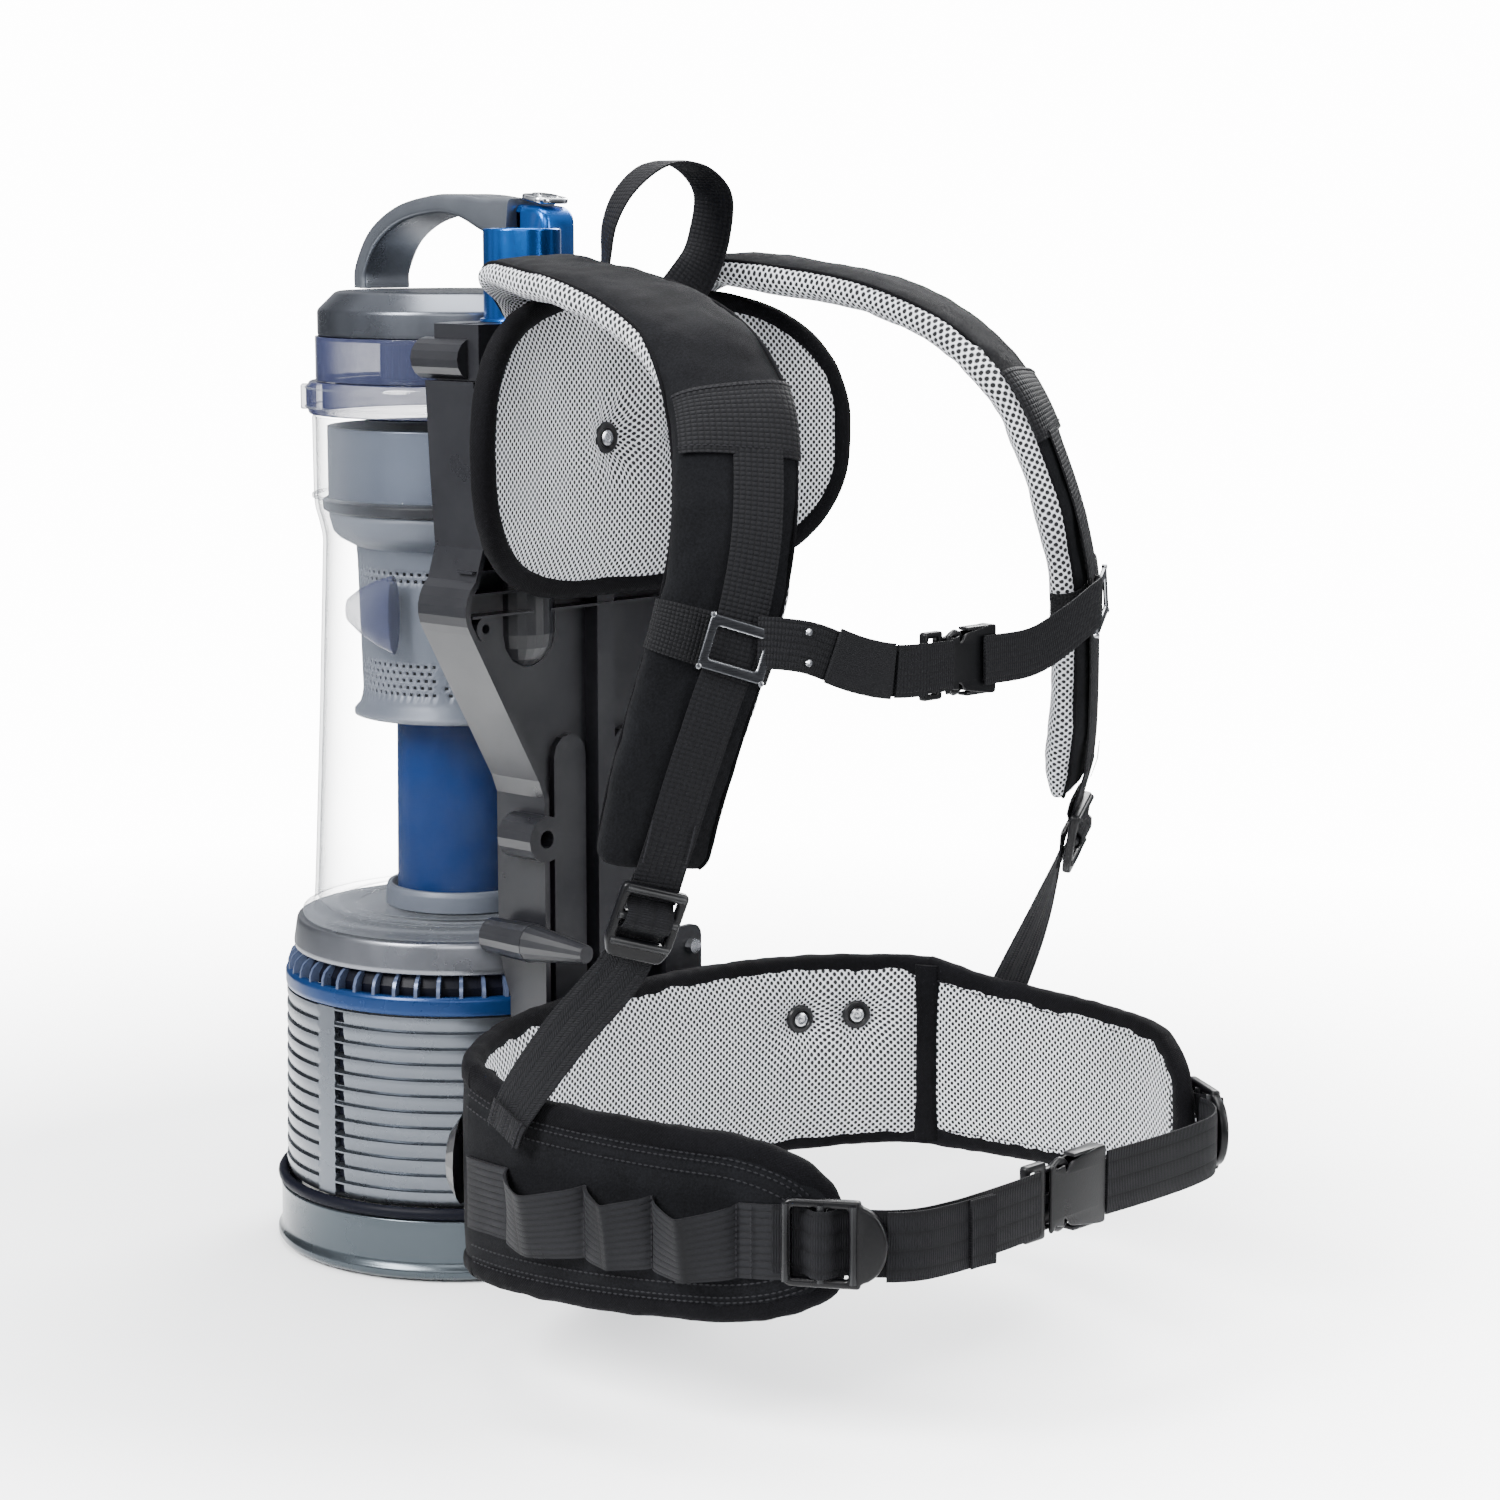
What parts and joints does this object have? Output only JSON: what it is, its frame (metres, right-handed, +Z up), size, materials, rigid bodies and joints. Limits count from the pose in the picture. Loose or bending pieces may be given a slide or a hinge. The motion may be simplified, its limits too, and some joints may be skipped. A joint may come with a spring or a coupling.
{
  "type": "backpack vacuum cleaner",
  "caption": "Backpack vacuum cleaner: cyclonic canister with a clear lift-out dust bin on a back frame, with padded shoulder straps and a hip belt.",
  "frame": {"origin": "centre of the canister's base on the floor", "axes": "+Z up along the canister's axis; -Y towards the wearer, who faces -Y; -X is the wearer's right"},
  "size_m": [0.4016, 0.5666, 0.6355],
  "materials": {
    "tray_plastic": "satin",
    "housing_plastic": "satin, metallic grey",
    "frame_plastic": "satin black",
    "lid_plastic": "satin, dark metallic grey",
    "cyclone_plastic": "translucent grey",
    "blue_plastic": "glossy blue",
    "clear_plastic": "clear",
    "tinted_plastic": "clear with a violet tint",
    "seal_rubber": "matte",
    "silver_plastic": "silver coated",
    "motor_alloy": "plain cast",
    "shaft_steel": "ground",
    "impeller_aluminium": "as cast",
    "filter_fleece": "matte",
    "spacer_mesh": "open knit",
    "cover_fabric": "matte",
    "webbing": "woven",
    "black_plastic": "satin",
    "dark_metal": "dark satin"
  },
  "bodies": {
    "canister": {"base_tray": "tray_plastic", "motor_housing": "housing_plastic", "vent_ring": "blue_plastic", "cup_collar": "housing_plastic", "motor_casing": "motor_alloy", "exhaust_filter": "filter_fleece", "back_frame": "frame_plastic", "inlet_tube": "blue_plastic", "inlet_duct": "frame_plastic", "top_bracket": "frame_plastic", "side_bracket": "frame_plastic", "bracket_bolt": "dark_metal", "lumbar_pad": "spacer_mesh", "belt_wing_right": "cover_fabric", "belt_wing_left": "cover_fabric", "lumbar_plate": "frame_plastic", "belt_cap_right": "black_plastic", "belt_cap_left": "black_plastic", "tool_loops": "webbing", "waist_webbing_right": "webbing", "waist_webbing_left": "webbing", "waist_buckle_socket": "black_plastic", "back_pad": "spacer_mesh", "pad_rivet_right": "black_plastic", "pad_rivet_left": "black_plastic", "shoulder_strap_right": "cover_fabric", "shoulder_strap_left": "cover_fabric", "strap_webbing_right": "webbing", "strap_webbing_left": "webbing", "tri_glide_right": "dark_metal", "tri_glide_left": "dark_metal", "lower_webbing_right": "webbing", "lower_webbing_left": "webbing", "grab_loop": "webbing", "sternum_webbing_right": "webbing", "sternum_webbing_left": "webbing", "sternum_buckle_socket": "black_plastic", "power_inlet": "black_plastic"},
    "rotor": {"motor_shaft": "shaft_steel", "impeller": "impeller_aluminium"},
    "bin": {"dust_bin": "clear_plastic", "bin_door": "clear_plastic", "inlet_nozzle": "clear_plastic"},
    "head": {"centre_tube": "blue_plastic", "cyclone_shroud": "cyclone_plastic", "head_seal": "seal_rubber", "lock_ring": "tinted_plastic", "head_window": "clear_plastic", "cyclone_fins": "blue_plastic", "lid": "lid_plastic", "handle": "lid_plastic", "latch_post": "blue_plastic"},
    "latch": {"latch_button": "silver_plastic"},
    "switch": {"power_switch": "black_plastic"},
    "waist_plug": {"waist_buckle_plug": "black_plastic"},
    "sternum_plug": {"sternum_buckle_plug": "black_plastic"},
    "waist_tilt_right": {"belt_adjuster_right": "black_plastic"},
    "waist_tilt_left": {"belt_adjuster_left": "black_plastic"},
    "strap_tilt_right": {"strap_adjuster_right": "black_plastic"},
    "strap_tilt_left": {"strap_adjuster_left": "black_plastic"}
  },
  "joints": [
    {"name": "rotor_spin", "type": "hinge", "parent": "canister", "child": "rotor", "pos_m": [0, 0, 0.05], "axis": [0, 0, 1], "continuous": true},
    {"name": "bin_lift", "type": "slide", "parent": "canister", "child": "bin", "axis": [0, 0, 1], "range_m": [0, 0.1]},
    {"name": "head_lift", "type": "slide", "parent": "bin", "child": "head", "axis": [0, 0, 1], "range_m": [0, 0.29]},
    {"name": "latch_press", "type": "slide", "parent": "head", "child": "latch", "axis": [0, 0, -1], "range_m": [0, 0.004], "stiffness_N_per_m": 600, "springref_m": -0.002},
    {"name": "switch_rock", "type": "hinge", "parent": "canister", "child": "switch", "pos_m": [0.019, 0.108, 0.083], "axis": [1, 0, 0], "range_deg": [-8, 8]},
    {"name": "waist_unbuckle", "type": "slide", "parent": "canister", "child": "waist_plug", "axis": [-1, 0, 0], "range_m": [0, 0.024]},
    {"name": "sternum_unbuckle", "type": "slide", "parent": "canister", "child": "sternum_plug", "axis": [-1, 0, 0], "range_m": [0, 0.018]},
    {"name": "belt_adjuster_tilt_right", "type": "hinge", "parent": "canister", "child": "waist_tilt_right", "pos_m": [-0.1622, -0.4022, 0.11], "axis": [0, 0, -1], "range_deg": [0, 25]},
    {"name": "belt_adjuster_tilt_left", "type": "hinge", "parent": "canister", "child": "waist_tilt_left", "pos_m": [0.1622, -0.4022, 0.11], "axis": [0, 0, 1], "range_deg": [0, 25]},
    {"name": "strap_adjuster_tilt_right", "type": "hinge", "parent": "canister", "child": "strap_tilt_right", "pos_m": [-0.16609, -0.32249, 0.26798], "axis": [-0.8733, 0.4011, 0.2766], "range_deg": [0, 20]},
    {"name": "strap_adjuster_tilt_left", "type": "hinge", "parent": "canister", "child": "strap_tilt_left", "pos_m": [0.16609, -0.32249, 0.26798], "axis": [-0.8733, -0.4011, -0.2766], "range_deg": [0, 20]}
  ]
}
